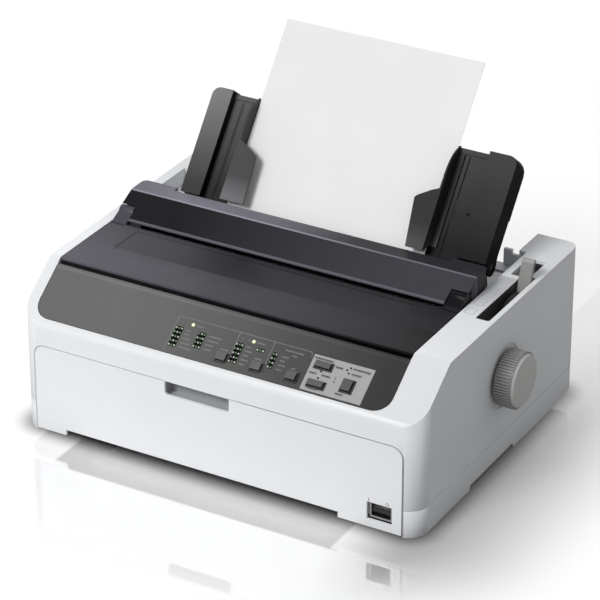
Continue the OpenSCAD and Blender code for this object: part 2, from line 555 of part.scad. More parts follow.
// ---- Release lever ----
lev_y = 200.5; lev_z = 100; lev_lean = 20; stud_r = 3;
module release_lever() color([0.6, 0.6, 0.59]) fb() translate([0, lev_y, lev_z]) difference() {
    union() {
        xpr(182, 193.5) rotate(-lev_lean) {
            polygon([[-2.2, 30], [-1.6, 66], [-0.6, 69.4], [2.6, 69.4], [3.4, 66.4], [2.2, 64], [2, 30]]);
        }
        xpr(185.5, 190) {
            rotate(-lev_lean) polygon([[-5, 0], [-4, 34], [4, 34], [5, 0]]);
            circle(8);
        }
    }
    rotate([0, 90, 0]) translate([0, 0, 180]) cylinder(r = stud_r + fit, h = 20);
}
// curved shield under the slot that turns with the lever
module lever_guard() color(black) fb() translate([0, lev_y, lev_z]) difference() {
    union() {
        xpr(183, 193) intersection() {
            difference() { circle(39.6); circle(36.6); }
            polygon([[0, 0], [12.5, 60], [-60, 60], [-60, 22]]);
        }
        xpr(190.2, 192.4) {
            circle(8);
            rotate(38) translate([-3, 0]) square([6, 38]);
        }
    }
    rotate([0, 90, 0]) translate([0, 0, 180]) cylinder(r = stud_r + fit, h = 20);
}
module lever_stud() color(steel) fb() {
    xcyl(stud_r, rib_r - rib_t, 193, lev_y, lev_z);
    xcyl(5, rib_r, 184.6, lev_y, lev_z);
    xcyl(5, 192.8, 194.6, lev_y, lev_z);
}

// ---- Carriage and print head ----
car_x = -60; shaft_y = 112; shaft_z = 52; shaft_r = 6;
module carriage_shaft() color(steel) fb() xcyl(shaft_r, rib_l, rib_r, shaft_y, shaft_z);
module carriage() color([0.14, 0.14, 0.15]) fb() translate([car_x, 0, 0]) difference() {
    union() {
        xcyl(11, -24, 24, shaft_y, shaft_z);
        blk(-24, 24, 100, 126, 52, 72);
        blk(-30, 30, 78, 124, 70, 74);
        blk(-10, 10, 80, 100, 60.4, 72);
    }
    xcyl(shaft_r + fit, -26, 26, shaft_y, shaft_z);
}
module print_head() color([0.3, 0.3, 0.32]) fb() translate([car_x, 0, 0]) {
    difference() {
        blk(-17, 17, 92, 122, 74, 98);
        for (i = [0:4]) blk(-18, 18, 94 + i*5.2, 96.4 + i*5.2, 88, 99);
    }
    xpr(-6, 6) polygon([[121, 76], [121, 92], [141.2, 87], [141.2, 80]]);
}
module ribbon_cartridge() color([0.13, 0.13, 0.14]) fb() translate([car_x, 0, 0]) difference() {
    union() {
        translate([0, 0, 99]) linear_extrude(13) {
            rrect(-62, 62, 66, 126, 5);
        }
        for (s = [-1, 1]) translate([0, 0, 74.6]) linear_extrude(30) polygon([[s*19, 100], [s*34, 100],
            [s*26, 141.4], [s*21, 141.4], [s*19, 128]]);
        translate([44, 84, 112]) cylinder(r = 9, h = 3);
    }
    blk(-12, 12, 104, 130, 104, 113);
}
belt_y = 90; pul_r = 8; pul_z = 51; pul_l = rib_l + 26.2; pul_rx = rib_r - 22.3;
module pulley(x) fb() difference() {
    union() {
        ycyl(pul_r, belt_y - 3.4, belt_y + 3.4, x, pul_z);
        for (s = [-1, 1]) ycyl(pul_r + 2.5, belt_y + s*4 - 0.8, belt_y + s*4 + 0.8, x, pul_z);
    }
    ycyl(2.5 + fit, belt_y - 8, belt_y + 8, x, pul_z);
}
module drive_pulley() color(steel) pulley(pul_l);
module idler_pulley() color(steel) pulley(pul_rx);
module carriage_belt() color(black) fb() ypr(belt_y - 3, belt_y + 3) difference() {
    union() {
        for (x = [pul_l, pul_rx]) translate([x, pul_z]) circle(pul_r + 1.3);
        translate([pul_l, pul_z - pul_r - 1.3]) square([pul_rx - pul_l, 2*pul_r + 2.6]);
    }
    for (x = [pul_l, pul_rx]) translate([x, pul_z]) circle(pul_r + 0.1);
    translate([pul_l, pul_z - pul_r - 0.1]) square([pul_rx - pul_l, 2*pul_r + 0.2]);
}
module carriage_motor() color([0.2, 0.2, 0.22]) fb() {
    ycyl(19, 50, 78, pul_l, pul_z);
    ycyl(2.5, 78, belt_y + 5, pul_l, pul_z);
    blk(pul_l - 21, pul_l + 21, 78, 80, 9.5, pul_z + 18);
    // bracket and axle of the far pulley
    ycyl(2.5, 80, belt_y + 5, pul_rx, pul_z);
    blk(pul_rx - 10, pul_rx + 10, 78, 80, 9.5, pul_z + 10);
}

// ---- Chassis ----
chassis_y = body_d - 55; boss_x = [rib_l + 15, rib_r - 15]; boss_y = [70, chassis_y - 25];
module side_frames() color(steel) fb() for (x = [rib_l, rib_r - rib_t]) difference() {
    xpr(x, x + rib_t) polygon([[62, 9.5], [62, 70], [92, 112], [150, 112], [156, 128], [205, 128],
        [214, 118], [chassis_y - 4, 118], [chassis_y - 4, 9.5]]);
    xcyl(5 + fit, x - 1, x + rib_t + 1, platen_y, platen_z);
    xcyl(shaft_r, x - 1, x + rib_t + 1, shaft_y, shaft_z);
    xcyl(4 + fit, x - 1, x + rib_t + 1, tr_y, tr_z);
    xcyl(3, x - 1, x + rib_t + 1, tr_y - 14, tr_z - 12);
    if (x > 0) xcyl(stud_r, x - 1, x + rib_t + 1, lev_y, lev_z);
    if (x < 0) xcyl(2.5 + 1.2, x - 1, x + rib_t + 1, pini_y, pini_z);
    if (x < 0) blk(x - 1, x + rib_t + 1, 60, 90, 60, 80);
    for (y = [176, 210]) xpr(x - 1, x + rib_t + 1) rrect(y, y + 26, 24, 62, 5);
}
module chassis_pan() color(steel) fb() difference() {
    union() {
        blk(rib_l - 6, rib_r + 6, 60, chassis_y, 8, 9.5);
        blk(rib_l - 6, rib_r + 6, chassis_y - 1.5, chassis_y, 8, 20);
    }
    for (x = boss_x, y = boss_y) translate([x, y, 7]) cylinder(r = 1.6, h = 4);
}

// ---- Fanfold tractors ----
tr_y = 236; tr_z = 104; tr_l = -92; tr_r = 74;
module tractor_shaft() color(steel) fb() xcyl(4, rib_l - 3, rib_r + 4, tr_y, tr_z);
module tractor_rail() color(steel) fb() xcyl(3, rib_l, rib_r, tr_y - 14, tr_z - 12);
module tractor_body(x) fb() translate([x, 0, 0]) difference() {
    union() {
        xpr(-7, 0) {
            translate([tr_y, tr_z]) circle(9);
            translate([tr_y - 18, tr_z]) circle(9);
            translate([tr_y - 18, tr_z - 9]) square([18, 18]);
            translate([tr_y - 14, tr_z - 12]) circle(5.5);
        }
        for (k = [0:3]) translate([-3.5, tr_y - 20 + k*6.3, tr_z + 8.6]) cylinder(r = 1.5, h = 2.2, $fn = 24);
        xcyl(2.2, -7, 2, tr_y - 24, tr_z + 4);
    }
    xcyl(4 + fit, -8, 3, tr_y, tr_z);
    xcyl(3 + fit, -8, 3, tr_y - 14, tr_z - 12);
}
module tractor_left() color([0.16, 0.16, 0.17]) tractor_body(tr_l);
module tractor_right() color([0.16, 0.16, 0.17]) tractor_body(tr_r);
module tractor_gate(x) fb() translate([x, 0, 0]) difference() {
    union() {
        blk(-6.5, 5, tr_y - 25, tr_y + 4, tr_z + 11.4, tr_z + 13.2);
        xpr(0.5, 4) {
            translate([tr_y - 24, tr_z + 4]) circle(4.6);
            polygon([[tr_y - 28.6, tr_z + 4], [tr_y - 25, tr_z + 13.2], [tr_y - 19.4, tr_z + 13.2],
                [tr_y - 19.4, tr_z + 4]]);
        }
    }
    xcyl(2.2 + fit, -8, 2.3, tr_y - 24, tr_z + 4);
}
module tractor_gate_left() color(black) tractor_gate(tr_l);
module tractor_gate_right() color(black) tractor_gate(tr_r);

// ---- Electrics ----
board_y0 = body_d - 50; board_y1 = body_d - 7;
module power_supply() color([0.62, 0.63, 0.64]) fb() difference() {
    blk(60, 146, board_y0, board_y1, 6, 38);
    for (i = [0:8]) blk(66 + i*8, 69 + i*8, board_y0 + 6, board_y1 - 6, 36, 39);
}
module main_board() color([0.1, 0.35, 0.2]) fb() {
    blk(-150, 50, board_y0, board_y1, 12, 13.6);
    for (x = [-144, 44], y = [board_y0 + 6, board_y1 - 6]) translate([x, y, 5.5]) cylinder(r = 3, h = 6.5);
    blk(-60, -30, board_y0 + 8, board_y1 - 14, 13.6, 17);
}
module power_inlet() color(black) fb() difference() {
    union() {
        ypr(body_d - 20, body_d - 0.5) rrect(111.4, 138.6, 42.4, 63.6, 2);
        ypr(body_d - 6, body_d - 3.3) rrect(108, 142, 40, 66, 2);
    }
    ypr(body_d - 17, body_d + 1) polygon([[114, 46], [136, 46], [136, 56], [131, 61], [119, 61], [114, 56]]);
}
module interface_ports() color([0.75, 0.75, 0.74]) fb() {
    difference() {
        union() {
            blk(-126.4, -55.6, body_d - 16, body_d - 1, 40.6, 61.4);
            blk(-42.4, -29.6, body_d - 16, body_d - 0.5, 42.6, 54.4);
            blk(-15.4, 16.4, body_d - 14, body_d - 0.5, 41.6, 54.4);
            blk(-130, 22, body_d - 16, body_d - 14, 13.6, 60);
        }
        blk(-118, -64, body_d - 10, body_d, 46, 56);
        blk(-41, -31, body_d - 12, body_d, 44.2, 52.8);
        blk(-9, 10, body_d - 8, body_d, 44, 52);
    }
    blk(-114, -68, body_d - 12, body_d - 3, 49.6, 52.4);
    blk(-38.6, -33.4, body_d - 13, body_d - 2, 46.4, 50.6);
}

upper_housing();
lower_case();
front_door();
door_pins();
switch_frame();
power_rocker();
control_panel();
panel_label_plate();
button_font();
button_pitch();
button_tear();
button_load();
button_adjust();
button_pause();
indicator_lenses();
panel_board();
printer_cover();
cover_pins();
rear_bridge();
sheet_guide();
guide_pins();
guide_posts();
edge_guide_left();
edge_guide_right();
paper_sheet();
paper_chute();
platen_knob();
platen_shaft();
platen_roller();
platen_gear();
feed_pinion();
feed_motor();
release_lever();
lever_guard();
lever_stud();
carriage();
print_head();
ribbon_cartridge();
carriage_shaft();
drive_pulley();
idler_pulley();
carriage_belt();
carriage_motor();
side_frames();
chassis_pan();
tractor_shaft();
tractor_rail();
tractor_left();
tractor_right();
tractor_gate_left();
tractor_gate_right();
power_supply();
main_board();
power_inlet();
interface_ports();
rubber_feet();
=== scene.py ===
import math

import bmesh
import bpy
from mathutils import Matrix, Vector


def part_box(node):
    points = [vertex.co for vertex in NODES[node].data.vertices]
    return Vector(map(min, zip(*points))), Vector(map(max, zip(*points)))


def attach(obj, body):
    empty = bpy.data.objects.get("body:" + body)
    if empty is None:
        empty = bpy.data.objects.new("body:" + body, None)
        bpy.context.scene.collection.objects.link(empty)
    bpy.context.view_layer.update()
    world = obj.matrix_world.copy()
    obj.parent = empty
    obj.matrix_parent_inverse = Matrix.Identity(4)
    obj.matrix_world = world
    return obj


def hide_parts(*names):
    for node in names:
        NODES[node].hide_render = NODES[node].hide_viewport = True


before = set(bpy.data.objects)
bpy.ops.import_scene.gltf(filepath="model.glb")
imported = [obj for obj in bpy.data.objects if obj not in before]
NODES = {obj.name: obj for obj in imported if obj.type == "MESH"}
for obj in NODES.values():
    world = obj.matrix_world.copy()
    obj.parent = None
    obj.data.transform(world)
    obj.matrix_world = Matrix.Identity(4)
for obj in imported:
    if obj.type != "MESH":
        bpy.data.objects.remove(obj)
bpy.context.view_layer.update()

MM = 0.001

# The body's depth and outline, the sloped panel and the sheet guide, in the part's own millimetres
BODY_D = 305.0
BODY_HALF_W = 199.0
CORNER_R = 20.0
RIDGE_Z = 107.8
WALL_TOP = 147.0
CREASE_Y = 54.0
SLOPE = math.atan2(WALL_TOP - RIDGE_Z, CREASE_Y)
LEAN = math.radians(38.0)
SHEET_UP = (0, math.sin(LEAN), math.cos(LEAN))
SHEET_Y = 202.5
SHEET_Z = 162.0
PANEL_FACE = -0.5
PLATE_FACE = 0.2
KEY_FACE = 1.2
DOOR_FACE = 0.0
GUIDE_PANEL = 3.0
BEAM_RIDGE_Y = 170.5
BEAM_FRONT_Y = 139.2

# The photograph's camera
CAM_PLACE = (1.207826, -2.125090, 1.408167)
CAM_TURN = math.radians(29.638)
CAM_DOWN = math.radians(28.008)
CAM_ROLL = math.radians(0.0704)
CAM_LENS = 186.866


# ---------- frames ----------
def body_point(x, y, z):
    """A point given from the body's front face, in the row frame."""
    return Vector((x * MM, (y - BODY_D / 2) * MM, z * MM))


def slope_point(x, y, z=0.0):
    """A point of the slope's frame, in the body's millimetres."""
    s, c = math.sin(SLOPE), math.cos(SLOPE)
    return (x, y * c - z * s, RIDGE_Z + y * s + z * c)


def sheet_point(x, y, z):
    """A point of the sheet's frame, in the body's millimetres."""
    s, c = math.sin(LEAN), math.cos(LEAN)
    return (x, SHEET_Y + y * c + z * s, SHEET_Z - y * s + z * c)


def slope_frame():
    """x along the body, y up the sloped panel, z out of it."""
    turn = Matrix.Rotation(SLOPE, 4, "X")
    return Matrix.Translation(body_point(0, 0, RIDGE_Z)) @ turn @ Matrix.Scale(MM, 4)


def door_frame():
    """x along the body, y up the front cover, z out of it."""
    turn = Matrix.Rotation(math.pi / 2, 4, "X")
    return Matrix.Translation(body_point(0, DOOR_FACE, 0)) @ turn @ Matrix.Scale(MM, 4)


def guide_frame():
    """x along the body, y up the guide's panel, z out of it towards the front."""
    turn = Matrix.Rotation(math.pi / 2 - LEAN, 4, "X")
    place = body_point(*sheet_point(0, GUIDE_PANEL, 0))
    return Matrix.Translation(place) @ turn @ Matrix.Scale(MM, 4)


def body_frame():
    return Matrix.Translation(body_point(0, 0, 0)) @ Matrix.Scale(MM, 4)


# ---------- material nodes ----------
def new_material(name):
    m = bpy.data.materials.new(name)
    m.use_nodes = True
    nodes = m.node_tree.nodes
    return m, nodes, m.node_tree.links, nodes["Principled BSDF"]


def object_place(nodes):
    return nodes.new("ShaderNodeTexCoord").outputs["Object"]


def noise(nodes, links, coords, scale, detail=3.0, rough=0.5):
    n = nodes.new("ShaderNodeTexNoise")
    n.inputs["Scale"].default_value = scale
    n.inputs["Detail"].default_value = detail
    n.inputs["Roughness"].default_value = rough
    links.new(coords, n.inputs["Vector"])
    return n.outputs["Fac"]


def ramp(nodes, links, fac, low, high, dark, light):
    r = nodes.new("ShaderNodeValToRGB")
    r.color_ramp.elements[0].position = low
    r.color_ramp.elements[0].color = (*dark, 1)
    r.color_ramp.elements[1].position = high
    r.color_ramp.elements[1].color = (*light, 1)
    links.new(fac, r.inputs["Fac"])
    return r.outputs["Color"]


def feed(links, socket, value):
    """Sets a number on a socket, or links another socket to it."""
    if isinstance(value, (int, float)):
        socket.default_value = value
    else:
        links.new(value, socket)


def span(nodes, links, fac, low, high, start=0.0, end=1.0, smooth=False):
    """low where fac is start or less, high where it is end or more, and even steps between."""
    r = nodes.new("ShaderNodeMapRange")
    if smooth:
        r.interpolation_type = "SMOOTHSTEP"
    r.inputs["From Min"].default_value = start
    r.inputs["From Max"].default_value = end
    feed(links, r.inputs["To Min"], low)
    feed(links, r.inputs["To Max"], high)
    links.new(fac, r.inputs["Value"])
    return r.outputs["Result"]


def maths(nodes, links, kind, a, b=0.0):
    n = nodes.new("ShaderNodeMath")
    n.operation = kind
    feed(links, n.inputs[0], a)
    feed(links, n.inputs[1], b)
    return n.outputs["Value"]


def split(nodes, links, vector):
    parts = nodes.new("ShaderNodeSeparateXYZ")
    links.new(vector, parts.inputs["Vector"])
    return parts.outputs


def times(nodes, links, color, factor):
    """A colour multiplied by a grey factor."""
    n = nodes.new("ShaderNodeVectorMath")
    n.operation = "SCALE"
    links.new(color, n.inputs[0])
    feed(links, n.inputs["Scale"], factor)
    return n.outputs["Vector"]


def inside(nodes, links, low, high):
    """1 inside a box of the body's millimetres and 0 outside it."""
    parts = split(nodes, links, object_place(nodes))
    mask = 1.0
    for part, a, b in zip(parts, body_point(*low), body_point(*high)):
        mask = maths(nodes, links, "MULTIPLY", mask, maths(nodes, links, "GREATER_THAN", part, a))
        mask = maths(nodes, links, "MULTIPLY", mask, maths(nodes, links, "LESS_THAN", part, b))
    return mask


def profile(nodes, links, start, way, stops):
    """Grey values at (millimetre, value) stops, measured from a point along a direction."""
    low, high = stops[0][0], stops[-1][0]
    off = nodes.new("ShaderNodeVectorMath")
    off.operation = "SUBTRACT"
    off.inputs[1].default_value = body_point(*start)
    links.new(object_place(nodes), off.inputs[0])
    dot = nodes.new("ShaderNodeVectorMath")
    dot.operation = "DOT_PRODUCT"
    dot.inputs[1].default_value = Vector(way).normalized() / MM
    links.new(off.outputs["Vector"], dot.inputs[0])
    fac = span(nodes, links, dot.outputs["Value"], 0.0, 1.0, low, high)
    return grey_ramp(nodes, links, fac, [((p - low) / (high - low), v) for p, v in stops])


def along_x(nodes, links, stops):
    return profile(nodes, links, (0, 0, 0), (1, 0, 0), stops)


def along_y(nodes, links, stops):
    return profile(nodes, links, (0, 0, 0), (0, 1, 0), stops)


def facing(nodes, links, axis):
    """The part of the surface's direction in the world along x, y or z: 0, 1 or 2."""
    return split(nodes, links, nodes.new("ShaderNodeNewGeometry").outputs["Normal"])[axis]


def grey_ramp(nodes, links, fac, stops):
    """Grey values at (position, value) stops between 0 and 1."""
    r = nodes.new("ShaderNodeValToRGB")
    marks = r.color_ramp.elements
    for i, (place, value) in enumerate(stops):
        if i == 0:
            mark = marks[0]
        elif i == len(stops) - 1:
            mark = marks[-1]
        else:
            mark = marks.new(place)
        mark.position = place
        mark.color = (value, value, value, 1)
    links.new(fac, r.inputs["Fac"])
    return r.outputs["Color"]


# ---------- materials ----------
def shade(color, k):
    return tuple(min(1.0, c * k) for c in color)


def plastic(name, color, rough=0.45, vary=0.03, grain=0.05, grain_scale=2600.0, spec=0.5,
            rough_vary=0.06, painted_light=None):
    """Moulded plastic: fine spark-eroded grain, slight clouding of colour and of gloss.
    The last argument lists grey factors' makers that paint light and shade into the colour, which
    drifts along the body as the light falls."""
    m, nodes, links, bsdf = new_material(name)
    coords = object_place(nodes)
    cloud = noise(nodes, links, coords, 22.0, 4.0)
    tint = ramp(nodes, links, cloud, 0.3, 0.7, shade(color, 1 - vary), shade(color, 1 + vary))
    for factor in painted_light or []:
        tint = times(nodes, links, tint, factor(nodes, links))
    links.new(tint, bsdf.inputs["Base Color"])
    patches = noise(nodes, links, coords, 60.0, 2.0)
    links.new(span(nodes, links, patches, rough - rough_vary, rough + rough_vary),
              bsdf.inputs["Roughness"])
    bsdf.inputs["Specular IOR Level"].default_value = spec
    bump = nodes.new("ShaderNodeBump")
    bump.inputs["Strength"].default_value = grain
    bump.inputs["Distance"].default_value = 0.0002
    links.new(noise(nodes, links, coords, grain_scale, 2.0, 0.6), bump.inputs["Height"])
    links.new(bump.outputs["Normal"], bsdf.inputs["Normal"])
    return m


def metal(name, color, rough=0.3, brushed=(1.0, 40.0, 40.0)):
    """Plated steel with faint drawn lines along one direction."""
    m, nodes, links, bsdf = new_material(name)
    stretch = nodes.new("ShaderNodeMapping")
    stretch.inputs["Scale"].default_value = brushed
    links.new(object_place(nodes), stretch.inputs["Vector"])
    lines = noise(nodes, links, stretch.outputs["Vector"], 60.0, 5.0, 0.7)
    links.new(ramp(nodes, links, lines, 0.3, 0.7, shade(color, 0.88), shade(color, 1.06)),
              bsdf.inputs["Base Color"])
    links.new(span(nodes, links, lines, rough - 0.08, rough + 0.1), bsdf.inputs["Roughness"])
    bsdf.inputs["Metallic"].default_value = 1.0
    bump = nodes.new("ShaderNodeBump")
    bump.inputs["Strength"].default_value = 0.05
    bump.inputs["Distance"].default_value = 0.0003
    links.new(lines, bump.inputs["Height"])
    links.new(bump.outputs["Normal"], bsdf.inputs["Normal"])
    return m


def glow(name, color, strength):
    m, nodes, links, bsdf = new_material(name)
    links.new(ramp(nodes, links, noise(nodes, links, object_place(nodes), 900.0), 0.3, 0.7,
                   shade(color, 0.9), color), bsdf.inputs["Base Color"])
    bsdf.inputs["Emission Color"].default_value = (*color, 1)
    bsdf.inputs["Emission Strength"].default_value = strength
    bsdf.inputs["Roughness"].default_value = 0.3
    return m


def paper(name):
    """Office paper: almost white, fibrous, with a very slight mottling."""
    m, nodes, links, bsdf = new_material(name)
    coords = object_place(nodes)
    fibres = noise(nodes, links, coords, 700.0, 6.0, 0.7)
    cloud = noise(nodes, links, coords, 18.0, 3.0)
    links.new(ramp(nodes, links, cloud, 0.25, 0.75, (0.73, 0.73, 0.73), (0.76, 0.76, 0.76)),
              bsdf.inputs["Base Color"])
    bsdf.inputs["Roughness"].default_value = 0.85
    bsdf.inputs["Specular IOR Level"].default_value = 0.25
    bump = nodes.new("ShaderNodeBump")
    bump.inputs["Strength"].default_value = 0.08
    bump.inputs["Distance"].default_value = 0.0001
    links.new(fibres, bump.inputs["Height"])
    links.new(bump.outputs["Normal"], bsdf.inputs["Normal"])
    return m


# Boxes in the body's millimetres where the painted light and shade change: the finger pocket and the
# release lever's slot, which get painted shade, the moulded strip beside it, which is darker to the
# rear, and the cover's sunk field, which gets its own painted reflection
POCKET = ((-50, 2.9, 70), (17, 14, 87))
LEVER_SLOT = ((181, 134, 100), (194.4, 226, 146.3))
SIGN_STRIP = ((160, 134, 146), (180.8, 216, 150))
COVER_FIELD = ((-162, 94.2, 140), (170, 139, 155))


def case_painted_light():
    """Painted light and shade on the white plastic: darker to the right, on the slope and to the rear
    of the top, lighter towards the front of the top and low on the right-facing sides, painted shade
    in the finger pocket and the lever's slot, and the moulded strip beside the slot darker towards the
    rear.
    """
    def drift(nodes, links):
        return along_x(nodes, links, [(-199, 1.0), (199, 0.87)])

    def tilt(nodes, links):
        return grey_ramp(nodes, links, facing(nodes, links, 2),
                         [(0.25, 1.0), (0.55, 0.90), (0.70, 0.87), (0.84, 0.90), (0.97, 1.0)])

    def top(nodes, links):
        level = span(nodes, links, facing(nodes, links, 2), 0.0, 1.0, 0.9, 0.99)
        rear = along_y(nodes, links, [(60, 1.15), (305, 0.9)])
        return span(nodes, links, level, 1.0, rear)

    def side(nodes, links):
        level = span(nodes, links, facing(nodes, links, 0), 0.0, 1.0, 0.8, 0.95)
        rise = profile(nodes, links, (0, 0, 0), (0, 0, 1), [(20, 1.07), (60, 0.96), (147, 0.9)])
        return span(nodes, links, level, 1.0, rise)

    # painted shade in the finger pocket
    def pocket(nodes, links):
        return span(nodes, links, inside(nodes, links, *POCKET), 1.0, 0.45)

    # painted shade in the release lever's slot
    def slot(nodes, links):
        return span(nodes, links, inside(nodes, links, *LEVER_SLOT), 1.0, 0.06)

    def strip(nodes, links):
        rear = along_y(nodes, links, [(138, 1.0), (185, 0.65)])
        return span(nodes, links, inside(nodes, links, *SIGN_STRIP), 1.0, rear)
    return [drift, tilt, top, side, pocket, slot, strip]


def panel_painted_light():
    """Painted shade darker to the right, with a painted highlight along the roll of the upper edge."""
    def drift(nodes, links):
        return along_x(nodes, links, [(-110, 1.0), (-60, 0.93), (150, 0.22)])

    def roll(nodes, links):
        return profile(nodes, links, slope_point(0, 0), (0, math.cos(SLOPE), math.sin(SLOPE)),
                       [(55.5, 1.0), (57.0, 1.3), (60.0, 1.4), (61.2, 1.0)])
    return [drift, roll]


def key_painted_shade():
    # painted shade: the caps darker to the right
    def drift(nodes, links):
        return along_x(nodes, links, [(0, 1.0), (125, 0.72)])
    return [drift]


def cover_painted_light():
    """A painted reflection, lighter to the left and in front of the sunk field; painted shade darkens
    the front edge.
    """
    def drift(nodes, links):
        front = along_x(nodes, links, [(-180, 0.9), (150, 0.1)])
        field = along_x(nodes, links, [(-160, 0.55), (-50, 0.2), (160, 0.15)])
        rear = along_y(nodes, links, [(75, 1.0), (118, 0.68)])
        front = times(nodes, links, front, rear)
        return span(nodes, links, inside(nodes, links, *COVER_FIELD), front, field)

    def edge(nodes, links):
        level = span(nodes, links, facing(nodes, links, 2), 0.0, 1.0, 0.3, 0.5)
        rise = profile(nodes, links, (0, 0, 0), (0, 0, 1), [(145.0, 0.12), (145.3, 1.0)])
        return span(nodes, links, level, rise, 1.0)
    return [drift, edge]


def beam_painted_light():
    """Painted reflections: the top is lighter to the left, the sloped front to the right; painted
    highlights along the ridge and the lower front edge.
    """
    def drift(nodes, links):
        top = along_x(nodes, links, [(-180, 0.8), (-100, 1.1), (40, 0.15)])
        front = along_x(nodes, links, [(-130, 0.07), (90, 0.25)])
        ridge_highlight = along_x(nodes, links, [(-50, 1.4), (100, 0.7)])
        foot_highlight = 0.6
        back = along_y(nodes, links, [(BEAM_RIDGE_Y - 0.2, 0.0), (BEAM_RIDGE_Y, 1.0)])
        painted_light = span(nodes, links, back, front, top)
        # a painted highlight along the ridge
        line = along_y(nodes, links, [(BEAM_RIDGE_Y - 1.5, 0.0), (BEAM_RIDGE_Y - 1.3, 1.0),
                                      (BEAM_RIDGE_Y + 0.3, 1.0), (BEAM_RIDGE_Y + 0.5, 0.0)])
        painted_light = span(nodes, links, line, painted_light, ridge_highlight)
        # a painted highlight along the lower front edge
        line = along_y(nodes, links, [(BEAM_FRONT_Y + 1.5, 1.0), (BEAM_FRONT_Y + 1.7, 0.0)])
        return span(nodes, links, line, painted_light, foot_highlight)
    return [drift]


def guide_painted_light():
    """Painted light and shade: lighter to the left and towards the upper end, darker on the middle
    panels and the right tower, and painted shade on the ends that face right.
    """
    def drift(nodes, links):
        return along_x(nodes, links, [(-151, 1.0), (-131, 0.98), (-130, 0.57), (-100, 0.52),
                                      (100, 0.32), (130, 0.30), (131, 0.27), (158, 0.27)])

    def rise(nodes, links):
        return profile(nodes, links, sheet_point(0, 0, 0), SHEET_UP, [(5, 0.25), (92, 1.0)])

    def end(nodes, links):
        level = span(nodes, links, facing(nodes, links, 0), 0.0, 1.0, 0.8, 0.95)
        return span(nodes, links, level, 1.0, 0.12)
    return [drift, rise, end]


def wing_painted_light():
    # painted light and shade: the wings darker to the right and lighter at their lower end
    def drift(nodes, links):
        return along_x(nodes, links, [(-100, 1.0), (96, 0.36)])

    def rise(nodes, links):
        return profile(nodes, links, sheet_point(0, 0, 0), SHEET_UP,
                       [(0, 2.6), (20, 1.0)])
    return [drift, rise]


def rim_painted_shade():
    """The switch frame's front rim is grey and its inside is painted black as shade."""
    def depth(nodes, links):
        return along_y(nodes, links, [(3.6, 1.0), (3.8, 0.05)])
    return [depth]


def knob_painted_light():
    """Painted light: the knob's end face, turned away from the key light, is lighter than its ribbed
    rim.
    """
    def face(nodes, links):
        return along_x(nodes, links, [(216.9, 0.6), (217.6, 1.0)])
    return [face]


def seam_shadow_drift():
    """The painted shadow line over the front cover shows less to the left."""
    def drift(nodes, links):
        return along_x(nodes, links, [(-180, 1.0), (15, 0.9), (30, 0.45), (185, 0.35)])
    return [drift]


def make_materials():
    return {
        "case": plastic("case_white", (0.846, 0.860, 0.878), 0.42, 0.008, 0.06, painted_light=case_painted_light()),
        "panel": plastic("panel_grey", (0.128, 0.128, 0.126), 0.42, 0.02, 0.12, spec=0.3,
                         painted_light=panel_painted_light()),
        "label": plastic("label_grey", (0.34, 0.34, 0.345), 0.5, 0.015, 0.08),
        "key": plastic("key_dark", (0.125, 0.125, 0.126), 0.42, 0.03, 0.12, spec=0.3, painted_light=key_painted_shade()),
        "lens": plastic("lens_grey", (0.52, 0.56, 0.48), 0.25, 0.05, 0.02),
        "lens_green": plastic("lens_green", (0.16, 0.27, 0.14), 0.25, 0.05, 0.02),
        "smoke": plastic("smoked_plastic", (0.118, 0.113, 0.136), 0.30, 0.04, 0.015, spec=0.1,
                         painted_light=cover_painted_light()),
        "beam": plastic("smoked_beam", (0.202, 0.194, 0.230), 0.30, 0.04, 0.015, spec=0.1,
                        painted_light=beam_painted_light()),
        "guide": plastic("guide_black", (0.190, 0.190, 0.191), 0.45, 0.05, 0.14, spec=0.03,
                         painted_light=guide_painted_light()),
        "wing": plastic("wing_black", (0.055, 0.056, 0.058), 0.45, 0.05, 0.12, spec=0.1,
                        painted_light=wing_painted_light()),
        "hidden": plastic("chute_black", (0.022, 0.022, 0.023), 0.5, 0.05, 0.14, spec=0.2),
        "knob": plastic("knob_grey", (0.49, 0.49, 0.475), 0.5, 0.03, 0.12, painted_light=knob_painted_light()),
        "lever": plastic("lever_grey", (0.235, 0.235, 0.228), 0.48, 0.03, 0.10),
        "rubber": plastic("rubber_black", (0.02, 0.02, 0.02), 0.75, 0.1, 0.3, 1500.0),
        "mech": plastic("mech_black", (0.022, 0.022, 0.024), 0.42, 0.06, 0.12),
        "rim": plastic("switch_rim", (0.24, 0.24, 0.245), 0.4, 0.03, 0.05, painted_light=rim_painted_shade()),
        "rocker": plastic("rocker_black", (0.020, 0.020, 0.021), 0.35, 0.05, 0.05, spec=0.3),
        "gear": plastic("gear_ivory", (0.62, 0.61, 0.56), 0.45, 0.03, 0.08),
        "board": plastic("board_green", (0.03, 0.14, 0.07), 0.35, 0.08, 0.10, 900.0),
        "motor": metal("motor_dark", (0.09, 0.09, 0.10), 0.35),
        "steel": metal("plated_steel", (0.58, 0.59, 0.61), 0.3),
        "port": metal("port_metal", (0.55, 0.55, 0.55), 0.35),
        "paper": paper("paper_white"),
        "print_faint": plastic("print_faint", (0.205, 0.205, 0.203), 0.6, 0.05, 0.02, spec=0.2),
        "print_mid": plastic("print_mid", (0.13, 0.13, 0.13), 0.6, 0.05, 0.02, spec=0.2),
        # dark print, also used for the painted shade marks on the keys and in the guide's grooves
        "print_and_shade_dark": plastic("print_and_shade_dark", (0.005, 0.006, 0.005), 0.5, 0.05, 0.02, spec=0.05),
        # grey of painted shade for the moulded signs' relief
        "moulded": plastic("moulded_mark_shade", (0.40, 0.41, 0.42), 0.5, 0.02, 0.05),
        # painted shadow line along the front cover's seam
        "seam": plastic("seam_shadow_grey", (0.42, 0.43, 0.44), 0.5, 0.02, 0.05, painted_light=seam_shadow_drift()),
        "lamp": glow("lamp_glow", (1.0, 1.0, 0.74), 0.9),
        # painted glow round the lit lamps
        "lamp_halo": glow("lamp_halo", (0.36, 0.42, 0.16), 0.12),
    }


